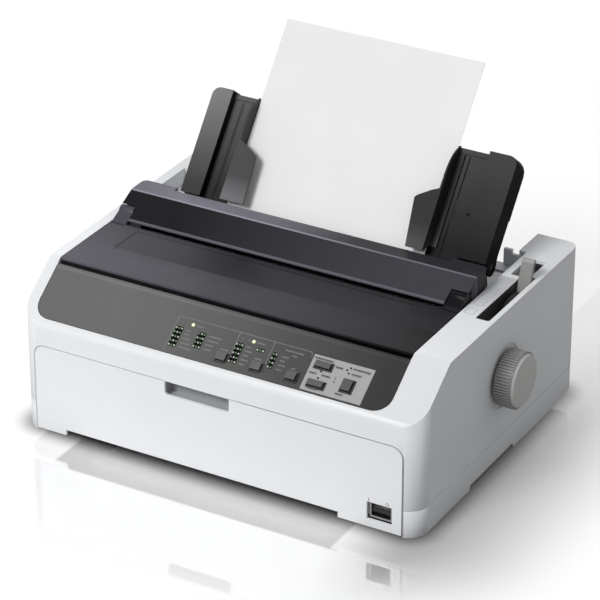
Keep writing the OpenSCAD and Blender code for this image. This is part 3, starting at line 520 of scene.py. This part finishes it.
# ---------- CAD nodes ----------
LOOKS = {
    "case": ["upper_housing", "lower_case", "front_door"],
    "panel": ["control_panel"],
    "label": ["panel_label_plate"],
    "key": ["button_font", "button_pitch", "button_tear", "button_load", "button_adjust",
            "button_pause"],
    "lens": ["indicator_lenses"],
    "smoke": ["printer_cover"],
    "beam": ["rear_bridge"],
    "guide": ["sheet_guide"],
    "wing": ["edge_guide_left", "edge_guide_right"],
    "hidden": ["guide_posts", "guide_pins", "paper_chute"],
    "knob": ["platen_knob"],
    "lever": ["release_lever"],
    "rim": ["switch_frame"],
    "rocker": ["power_rocker"],
    "steel": ["door_pins", "cover_pins", "platen_shaft", "lever_stud",
              "carriage_shaft", "drive_pulley", "idler_pulley", "side_frames", "chassis_pan",
              "tractor_shaft", "tractor_rail", "power_supply"],
    "rubber": ["rubber_feet", "platen_roller", "carriage_belt"],
    "mech": ["lever_guard", "carriage", "ribbon_cartridge", "tractor_left", "tractor_right",
             "tractor_gate_left", "tractor_gate_right", "power_inlet"],
    "gear": ["platen_gear", "feed_pinion"],
    "board": ["panel_board", "main_board"],
    "motor": ["feed_motor", "carriage_motor", "print_head"],
    "paper": ["paper_sheet"],
    "port": ["interface_ports"],
}
EDGE_MM = {
    "upper_housing": 0.9, "lower_case": 0.9, "front_door": 0.7, "control_panel": 0.6,
    "printer_cover": 0.5, "rear_bridge": 0.7, "sheet_guide": 0.7, "edge_guide_left": 0.5,
    "edge_guide_right": 0.5, "platen_knob": 0.35, "release_lever": 0.5, "button_font": 0.6,
    "button_pitch": 0.6, "button_tear": 0.6, "button_load": 0.6, "button_adjust": 0.6,
    "button_pause": 0.6, "power_rocker": 0.4, "switch_frame": 0.5, "ribbon_cartridge": 0.8,
    "carriage": 0.4, "tractor_left": 0.4, "tractor_right": 0.4, "panel_label_plate": 0.3,
}
WELD_MM = 0.002
EDGE_LIMIT = math.radians(28)


def soften_edges(obj, width):
    """Welds the faces' borders and rounds every sharp edge a little."""
    weld = obj.modifiers.new("weld", "WELD")
    weld.merge_threshold = WELD_MM * MM
    bevel = obj.modifiers.new("edges", "BEVEL")
    bevel.width = width * MM
    bevel.segments = 2
    bevel.limit_method = "ANGLE"
    bevel.angle_limit = EDGE_LIMIT
    bevel.harden_normals = True
    bevel.use_clamp_overlap = True


def dress_nodes(mats):
    for look, names in LOOKS.items():
        for name in names:
            obj = NODES[name]
            obj.data.materials.clear()
            obj.data.materials.append(mats[look])
            if name in EDGE_MM:
                soften_edges(obj, EDGE_MM[name])


# ---------- small modelled pieces ----------
def mesh_object(name, bm, material):
    mesh = bpy.data.meshes.new(name)
    bm.normal_update()
    bm.to_mesh(mesh)
    bm.free()
    obj = bpy.data.objects.new(name, mesh)
    bpy.context.scene.collection.objects.link(obj)
    mesh.materials.append(material)
    return obj


def add_slab(bm, place, outline, low, high):
    """A flat piece with the given outline in the frame's x and y, from low to high in its z."""
    n = len(outline)
    under = [bm.verts.new(place @ Vector((x, y, low))) for x, y in outline]
    over = [bm.verts.new(place @ Vector((x, y, high))) for x, y in outline]
    bm.faces.new(over)
    bm.faces.new(list(reversed(under)))
    for i in range(n):
        j = (i + 1) % n
        bm.faces.new((under[i], under[j], over[j], over[i]))


def rect(x0, y0, x1, y1):
    return [(x0, y0), (x1, y0), (x1, y1), (x0, y1)]


def bar(x, y, length, height):
    """A bar that starts at x and has y in its middle."""
    return rect(x, y - height / 2, x + length, y + height / 2)


def word(x, y, length, height):
    """A row of short plain dashes, about as long as the letters of a small word."""
    dashes = []
    reach = 0.0
    for i in range(int(length / (DASH + DASH_GAP))):
        size = DASH * (0.7, 1.2, 0.9)[i % 3]
        dashes.append(bar(x + reach, y, size, height * (1.0, 0.8)[i % 2]))
        reach += size + DASH_GAP
    return dashes


def arc(x, y, r, start, end, n=6):
    angles = [math.radians(start + (end - start) * i / n) for i in range(n + 1)]
    return [(x + r * math.cos(a), y + r * math.sin(a)) for a in angles]


def disc(x, y, r, n=20):
    return arc(x, y, r, 0, 360 - 360 / n, n - 1)


def stroke(points, width):
    """The outline of a line of even width through the points."""
    left, right = [], []
    for i, (x, y) in enumerate(points):
        ax, ay = points[max(i - 1, 0)]
        bx, by = points[min(i + 1, len(points) - 1)]
        size = math.hypot(bx - ax, by - ay)
        nx, ny = (ay - by) / size * width / 2, (bx - ax) / size * width / 2
        left.append((x + nx, y + ny))
        right.append((x - nx, y - ny))
    return right + list(reversed(left))


def slabs(name, place, outlines, low, high, material, body):
    bm = bmesh.new()
    for outline in outlines:
        add_slab(bm, place, outline, low, high)
    obj = mesh_object(name, bm, material)
    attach(obj, body)
    return obj


# ---------- control panel ----------
INK = 0.05
DASH, DASH_GAP = 1.1, 0.35
LENS_RISE = 0.25
DOT_W, DOT_H = 1.35, 1.5
DOT_STEP_X, DOT_STEP_Y = 2.65, 4.22
# how far a field's dark ground reaches past its dots: left, below, right, above
GROUND_LEFT, GROUND_LOW, GROUND_RIGHT, GROUND_HIGH = 0.95, 1.35, 1.35, 1.7
LAMP_R, HALO_R, GLOW_R = 1.5, 1.9, 1.1
# indicator fields on the slope: the first dot's middle, columns, rows
FIELDS = [(-51.5, 15.2, 3, 5), (-28.7, 19.4, 3, 4), (8.9, 15.2, 3, 5), (29.3, 31.8, 3, 1),
          (45.0, 19.6, 2, 4)]
LIT = [(-37.8, 38.1), (22.7, 38.1)]
UNLIT = [(-47.9, 38.1), (-42.5, 38.1), (12.2, 38.1), (18.0, 38.1)]
FRAME_W = 0.55
FRAME_TOP = 43.2
FRAME_LEFT = -54.0
FRAME_RIGHT = 78.6
FRAME_START = 9.2
FRAME_END = 38.5
DIVIDERS = (7.3, 41.5)
DIVIDER_START = 10.5
FRAME_R = 2.5
# plain bars in place of the words: start, height on the slope, length
PANEL_BARS = [(-42, 32.0, 7), (-42, 27.8, 6), (-42, 23.6, 9), (-42, 19.3, 11), (-42, 15.1, 14),
              (-34, 38.1, 8), (-19, 32.0, 14), (-19, 27.8, 12), (-19, 23.6, 10), (-19, 19.3, 10),
              (26, 38.1, 9), (18.5, 32.0, 5), (18.5, 27.8, 8), (18.5, 23.6, 6), (18.5, 19.3, 8),
              (18.5, 15.1, 7), (53, 32.0, 8), (53, 27.8, 7), (53, 23.6, 8), (53, 19.3, 7),
              (54, 38.6, 20), (62, 35.0, 7), (-4, 23.6, 9), (30, 23.6, 8), (66, 23.8, 5)]
BAR_H = 1.5
PLATE_BARS = [(82.5, 39.3, 20), (82.8, 25.1, 8.6), (95, 25.1, 9.3), (87.5, 11.2, 10.8),
              (104, 35.7, 8.6), (119.9, 38.0, 17.6), (120.3, 33.0, 10.4), (113.4, 12.6, 7.3),
              (107.6, 25.4, 1.5), (107.6, 22.2, 1.5)]
PLATE_DOT_R = 0.85
PLATE_DOTS = [(93.0, 28.2), (93.0, 21.7), (117.4, 38.2), (114.7, 35.6), (117.4, 33.0)]
# the keys' caps on the slope: middle, width and height
KEYS = {"button_font": (1.4, 16.4, 11.6, 9.4), "button_pitch": (35.6, 16.4, 11.6, 9.4),
        "button_tear": (69.8, 16.6, 11.6, 9.4), "button_load": (93.2, 33.6, 17.0, 7.4),
        "button_adjust": (93.6, 15.6, 17.0, 7.4), "button_pause": (121.2, 21.6, 11.4, 12.4)}
# the painted shade marks: their widths, their distance from the cap's edge and the slant of their ends
KEY_SHADE_RIGHT, KEY_SHADE_LOW = 1.9, 1.4
KEY_SHADE_IN = 0.3
SLANT_HIGH, SLANT_LEFT = 0.8, 0.6


def make_indicators(mats):
    """Dark fields, lenses and lamps, which replace the part's plain lenses."""
    place = slope_frame()
    top = PANEL_FACE
    grounds, bright, dim = [], [], []
    for x, y, nx, ny in FIELDS:
        grounds.append(rect(x - GROUND_LEFT, y - GROUND_LOW,
                            x + (nx - 1) * DOT_STEP_X + GROUND_RIGHT,
                            y + (ny - 1) * DOT_STEP_Y + GROUND_HIGH))
        for i in range(nx):
            for j in range(ny):
                lens = bar(x + i * DOT_STEP_X - DOT_W / 2, y + j * DOT_STEP_Y, DOT_W, DOT_H)
                (bright if (i + j) % 2 == 0 else dim).append(lens)
    pieces = [
        slabs("indicator_grounds", place, grounds, top, top + INK, mats["print_and_shade_dark"], "housing"),
        slabs("indicator_lenses_bright", place, bright, top, top + LENS_RISE, mats["lens"],
              "housing"),
        slabs("indicator_lenses_dim", place, dim, top, top + LENS_RISE, mats["lens_green"],
              "housing"),
        slabs("lamps_unlit", place, [disc(x, y, LAMP_R) for x, y in UNLIT], top, top + LENS_RISE,
              mats["key"], "housing"),
        # a dim painted glow round each lit lamp
        slabs("lamps_halo", place, [disc(x, y, HALO_R) for x, y in LIT], top, top + INK,
              mats["lamp_halo"], "housing"),
        slabs("lamps_lit", place, [disc(x, y, GLOW_R) for x, y in LIT], top, top + LENS_RISE,
              mats["lamp"], "housing"),
    ]
    for piece in pieces:
        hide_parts("indicator_lenses")


def make_panel_marks(mats):
    place = slope_frame()
    top = PANEL_FACE
    start = (FRAME_LEFT, FRAME_START)
    corner = arc(FRAME_LEFT + FRAME_R, FRAME_TOP - FRAME_R, FRAME_R, 180, 90)
    far = arc(FRAME_RIGHT - FRAME_R, FRAME_TOP - FRAME_R, FRAME_R, 90, 0)
    lines = [stroke([start] + corner + far + [(FRAME_RIGHT, FRAME_END)], FRAME_W)]
    for x in DIVIDERS:
        lines.append(stroke([(x, DIVIDER_START), (x, FRAME_TOP - FRAME_W / 2)], FRAME_W))
    slabs("panel_frames", place, lines, top, top + INK, mats["print_faint"], "housing")
    words = [dash for x, y, n in PANEL_BARS for dash in word(x, y, n, BAR_H)]
    slabs("panel_bars", place, words, top, top + INK, mats["print_faint"], "housing")
    words = [dash for x, y, n in PLATE_BARS for dash in word(x, y, n, BAR_H + 0.3)]
    slabs("plate_bars", place, words, PLATE_FACE, PLATE_FACE + INK, mats["print_mid"], "housing")
    dots = [disc(x, y, PLATE_DOT_R, 10) for x, y in PLATE_DOTS]
    slabs("plate_dots", place, dots, PLATE_FACE, PLATE_FACE + INK, mats["print_and_shade_dark"], "housing")


def make_key_shade_marks(mats):
    """A painted shade mark along the right and lower edge of each cap, on the cap's own face, where
    the cap's side and gap fall in shade.
    """
    place = slope_frame()
    for name, (x, y, w, h) in KEYS.items():
        right, low = x + w / 2 - KEY_SHADE_IN, y - h / 2 + KEY_SHADE_IN
        left, high = x - w / 2 + KEY_SHADE_IN, y + h / 2 - KEY_SHADE_IN
        ell = [(left, low), (right, low), (right, high), (right - KEY_SHADE_RIGHT, high - SLANT_HIGH),
               (right - KEY_SHADE_RIGHT, low + KEY_SHADE_LOW), (left + SLANT_LEFT, low + KEY_SHADE_LOW)]
        slabs("key_shade_" + name, place, [ell], KEY_FACE, KEY_FACE + INK, mats["print_and_shade_dark"], name)


# ---------- front cover, strip and guide ----------
# the switch's ring and bar on the front cover
RING_PLACE, SWITCH_RING_R, RING_W = (170.1, 28.6), 1.3, 0.5
BAR_BOX = (151.9, 27.2, 152.5, 30.0)


def make_switch_marks(mats):
    """The two plain marks of a power switch."""
    place = door_frame()
    ring = stroke(arc(*RING_PLACE, SWITCH_RING_R, 0, 360, 20), RING_W)
    slabs("switch_marks", place, [rect(*BAR_BOX), ring], 0.0, INK,
          mats["print_mid"], "door")


# the painted shadow line along the seam: its width, its distance from the cover's edge and its corners
SEAM_W, SEAM_OUT, SEAM_R = 0.5, 0.85, 11.0
NOTCH = (-49.6, 16.5)


def make_door_seam_shadow(mats):
    """A painted shadow line round the front cover's top and ends, on the housing's edge."""
    low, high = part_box("front_door")
    left, right = low[0] / MM - SEAM_OUT, high[0] / MM + SEAM_OUT
    bottom, top = low[2] / MM, high[2] / MM + SEAM_OUT
    near = arc(left + SEAM_R, top - SEAM_R, SEAM_R, 180, 90)
    far = arc(right - SEAM_R, top - SEAM_R, SEAM_R, 90, 0)
    lines = [stroke([(left, bottom)] + near + [(NOTCH[0], top)], SEAM_W),
             stroke([(NOTCH[1], top)] + far + [(right, bottom)], SEAM_W)]
    slabs("door_seam_shadow", door_frame(), lines, 0.0, INK, mats["seam"], "housing")


# moulded signs beside the release lever, drawn as grey lines of painted shade for their relief: front
# edge of each, in the body's millimetres
SIGN_X0, SIGN_X1 = 168.0, 176.6
SIGNS = [(138.5, 10.5), (156.5, 12.0), (174.0, 16.0)]


def make_strip_signs(mats):
    """Plain outlines of a sheet, of a sheet with an arrow and of a punched sheet, in a grey that
    paints the shade of the moulded relief.
    """
    place = body_frame()
    line = 0.55
    marks = []
    for y, length in SIGNS:
        box = [(SIGN_X0, y), (SIGN_X1, y), (SIGN_X1, y + length), (SIGN_X0, y + length),
               (SIGN_X0, y)]
        for a, b in zip(box, box[1:]):
            marks.append(stroke([a, b], line))
    for x in (SIGN_X0 + 2.0, SIGN_X1 - 2.0):
        y, length = SIGNS[2]
        marks += [disc(x, y + 2 + 3 * i, 0.45, 8) for i in range(5)]
    y, length = SIGNS[1]
    marks.append(stroke([(SIGN_X0 + 2, y + length / 2), (SIGN_X1 - 2, y + length / 2)], line))
    slabs("strip_signs", place, marks, WALL_TOP, WALL_TOP + INK, mats["moulded"], "housing")


# thin dark lines of painted shade for the guide's grooves, and small scale marks on its middle panels
GROOVE_SHADE_LINES = [(-120.8, 0, 89), (110.8, 50, 89), (110.2, 0, 24), (127.5, 0, 86)]
SCALE_X, SCALE_Y, SCALE_STEP, SCALE_N = 112.5, 34.0, 2.4, 6


def make_guide_marks(mats):
    place = guide_frame()
    marks = [rect(x - 0.35, y0, x + 0.35, y1) for x, y0, y1 in GROOVE_SHADE_LINES]
    for i in range(SCALE_N):
        x = SCALE_X + i * SCALE_STEP
        marks.append(rect(x - 0.25, SCALE_Y - 0.9, x + 0.25, SCALE_Y + 0.9))
    marks.append([(111.6, 37.5), (113.4, 37.5), (112.5, 40.2)])
    marks.append(rect(122.8, 37.6, 126.6, 40.0))
    slabs("guide_marks", place, marks, 0.0, INK, mats["print_and_shade_dark"], "guide")


# ---------- floor, light and camera ----------
FLOOR_HALF = 6.0
FLOOR_ALBEDO = 0.45
FLOOR_SEEN = 0.5
FLOOR_LIFT = 0.56
MIRROR_DEPTH = 12.9
MIRROR_FADE = [(0, 0.44), (45, 0.44), (85, 0.36), (150, 0.17), (200, 0.06), (260, 0.0)]
# the painted contact shadow on the floor: its start and end, in millimetres from the body's footprint
CONTACT_IN, CONTACT_OUT = -12.3, 20.7
SIDE_SHADE, SIDE_REACH = 0.56, 150.0
# the gap under the front wall shows in the mirror; beside it the feet reach the floor
RECESS_HALF, BESIDE_RECESS = (138, 141), 0.3
RECESS_DEPTH = [(42, 0.0), (46, 1.0)]
SUN_WAY = (-0.7, -2.6, 2.4)
SUN_STRENGTH = 2.15
SUN_ANGLE = 0.35
WORLD_LIGHT = 0.472
WORLD_TINT = (0.985, 0.99, 1.0)
BACKDROP_WAY = (-0.44, 0.77, 0.47)
BACKDROP_DARK = 0.30


def plane(name, height, material):
    bm = bmesh.new()
    corners = [(-FLOOR_HALF, -FLOOR_HALF), (FLOOR_HALF, -FLOOR_HALF), (FLOOR_HALF, FLOOR_HALF),
               (-FLOOR_HALF, FLOOR_HALF)]
    bm.faces.new([bm.verts.new((x, y, height)) for x, y in corners])
    mesh_object(name, bm, material)


def camera_or(nodes, links, seen, other):
    """One value for camera rays and another for all the rest."""
    rays = nodes.new("ShaderNodeLightPath")
    return span(nodes, links, rays.outputs["Is Camera Ray"], other, seen)


def footprint_gap(nodes, links):
    """Millimetres from the body's rounded footprint, less than 0 under it."""
    parts = split(nodes, links, object_place(nodes))
    outside = []
    for part, half in zip(parts, (BODY_HALF_W, BODY_D / 2)):
        away = maths(nodes, links, "SUBTRACT", maths(nodes, links, "ABSOLUTE", part),
                     (half - CORNER_R) * MM)
        outside.append(maths(nodes, links, "MAXIMUM", away, 0.0))
    squares = [maths(nodes, links, "MULTIPLY", a, a) for a in outside]
    reach = maths(nodes, links, "SQRT", maths(nodes, links, "ADD", *squares))
    return maths(nodes, links, "SUBTRACT", maths(nodes, links, "DIVIDE", reach, MM), CORNER_R)


def side_shade(nodes, links, gap):
    """The wide soft shade on the floor beside the body's right wall, weaker to the rear."""
    parts = split(nodes, links, object_place(nodes))
    right = span(nodes, links, parts[0], 0.0, SIDE_SHADE, 0.12, 0.205, smooth=True)
    rear = span(nodes, links, parts[1], 1.0, 0.3, 0.0, 0.2, smooth=True)
    near = span(nodes, links, gap, 1.0, 0.0, 0.0, SIDE_REACH, smooth=True)
    depth = maths(nodes, links, "MULTIPLY", maths(nodes, links, "MULTIPLY", right, rear), near)
    return maths(nodes, links, "SUBTRACT", 1.0, depth)


def make_stage():
    """A white floor with a painted contact shadow and painted shade beside the right wall, partly
    clear in front of the body, over a mirror plane below it.
    """
    m, nodes, links, bsdf = new_material("floor_white")
    gap = footprint_gap(nodes, links)
    # painted contact shadow near the body, with the painted shade beside the right wall
    painted_contact_shadow = span(nodes, links, gap, 0.0, 1.0, CONTACT_IN, CONTACT_OUT, smooth=True)
    painted_contact_shadow = maths(nodes, links, "MULTIPLY", painted_contact_shadow, side_shade(nodes, links, gap))
    tint = ramp(nodes, links, noise(nodes, links, object_place(nodes), 3.0), 0.3, 0.7,
                (0.99, 0.99, 0.99), (1.0, 1.0, 1.0))
    tint = times(nodes, links, tint, camera_or(nodes, links, FLOOR_SEEN, FLOOR_ALBEDO))
    links.new(times(nodes, links, tint, painted_contact_shadow), bsdf.inputs["Base Color"])
    bsdf.inputs["Roughness"].default_value = 0.9
    bsdf.inputs["Specular IOR Level"].default_value = 0.0
    bsdf.inputs["Emission Color"].default_value = (1, 1, 1, 1)
    links.new(maths(nodes, links, "MULTIPLY", painted_contact_shadow, camera_or(nodes, links, FLOOR_LIFT, 0.0)),
              bsdf.inputs["Emission Strength"])
    clear = nodes.new("ShaderNodeBsdfTransparent")
    parts = split(nodes, links, object_place(nodes))
    fade = profile(nodes, links, (0, 0, 0), (0, -1, 0), MIRROR_FADE)
    side = span(nodes, links, parts[0], 1.0, 0.0, 0.195, 0.235)
    recess = span(nodes, links, maths(nodes, links, "ABSOLUTE", parts[0]), 1.0, BESIDE_RECESS,
                  RECESS_HALF[0] * MM, RECESS_HALF[1] * MM)
    ahead = profile(nodes, links, (0, 0, 0), (0, -1, 0), RECESS_DEPTH)
    fade = maths(nodes, links, "MULTIPLY", fade, span(nodes, links, ahead, recess, 1.0))
    share = maths(nodes, links, "MULTIPLY", fade, side)
    share = maths(nodes, links, "MAXIMUM", share,
                  nodes.new("ShaderNodeNewGeometry").outputs["Backfacing"])
    mix = nodes.new("ShaderNodeMixShader")
    links.new(share, mix.inputs["Fac"])
    links.new(bsdf.outputs["BSDF"], mix.inputs[1])
    links.new(clear.outputs["BSDF"], mix.inputs[2])
    links.new(mix.outputs["Shader"], nodes["Material Output"].inputs["Surface"])
    plane("floor", 0.0, m)
    m, nodes, links, bsdf = new_material("floor_mirror")
    links.new(ramp(nodes, links, noise(nodes, links, object_place(nodes), 2.0), 0.3, 0.7,
                   (0.99, 0.99, 0.99), (1.0, 1.0, 1.0)), bsdf.inputs["Base Color"])
    bsdf.inputs["Metallic"].default_value = 1.0
    bsdf.inputs["Roughness"].default_value = 0.03
    plane("floor_mirror", -MIRROR_DEPTH * MM, m)


def background(nodes, color, strength):
    b = nodes.new("ShaderNodeBackground")
    b.inputs["Color"].default_value = (*color, 1)
    b.inputs["Strength"].default_value = strength
    return b


def make_world():
    """Even cool fill; a white backdrop for the camera and for reflections that look its way."""
    world = bpy.data.worlds.new("studio")
    bpy.context.scene.world = world
    world.use_nodes = True
    nodes, links = world.node_tree.nodes, world.node_tree.links
    nodes.clear()
    out = nodes.new("ShaderNodeOutputWorld")
    fill = background(nodes, WORLD_TINT, WORLD_LIGHT)
    drop = background(nodes, (1.0, 1.0, 1.0), 1.0)
    rays = nodes.new("ShaderNodeLightPath")
    facing = nodes.new("ShaderNodeVectorMath")
    facing.operation = "DOT_PRODUCT"
    facing.inputs[1].default_value = Vector(BACKDROP_WAY).normalized()
    links.new(nodes.new("ShaderNodeTexCoord").outputs["Generated"], facing.inputs[0])
    shiny = background(nodes, (1.0, 1.0, 1.0), 1.0)
    links.new(span(nodes, links, facing.outputs["Value"], BACKDROP_DARK, 1.0, 0.80, 0.95),
              shiny.inputs["Strength"])
    first = nodes.new("ShaderNodeMixShader")
    links.new(rays.outputs["Is Glossy Ray"], first.inputs["Fac"])
    links.new(fill.outputs["Background"], first.inputs[1])
    links.new(shiny.outputs["Background"], first.inputs[2])
    last = nodes.new("ShaderNodeMixShader")
    links.new(rays.outputs["Is Camera Ray"], last.inputs["Fac"])
    links.new(first.outputs["Shader"], last.inputs[1])
    links.new(drop.outputs["Background"], last.inputs[2])
    links.new(last.outputs["Shader"], out.inputs["Surface"])


def make_lights():
    lamp = bpy.data.lights.new("key", "SUN")
    lamp.energy = SUN_STRENGTH
    lamp.angle = SUN_ANGLE
    obj = bpy.data.objects.new("key", lamp)
    bpy.context.scene.collection.objects.link(obj)
    obj.location = SUN_WAY
    obj.rotation_euler = Vector(SUN_WAY).to_track_quat("Z", "Y").to_euler()


def make_camera():
    data = bpy.data.cameras.new("camera")
    data.sensor_fit = "HORIZONTAL"
    data.sensor_width = 36.0
    data.lens = CAM_LENS
    data.clip_end = 50.0
    cam = bpy.data.objects.new("camera", data)
    bpy.context.scene.collection.objects.link(cam)
    turn = (Matrix.Rotation(CAM_TURN, 3, "Z") @ Matrix.Rotation(math.pi / 2 - CAM_DOWN, 3, "X")
            @ Matrix.Rotation(CAM_ROLL, 3, "Z"))
    cam.location = CAM_PLACE
    cam.rotation_euler = turn.to_euler()
    bpy.context.scene.camera = cam


def main():
    mats = make_materials()
    dress_nodes(mats)
    make_indicators(mats)
    make_panel_marks(mats)
    make_key_shade_marks(mats)
    make_switch_marks(mats)
    make_door_seam_shadow(mats)
    make_strip_signs(mats)
    make_guide_marks(mats)
    make_stage()
    make_world()
    make_lights()
    make_camera()
    bpy.context.scene.view_settings.view_transform = "Standard"


main()
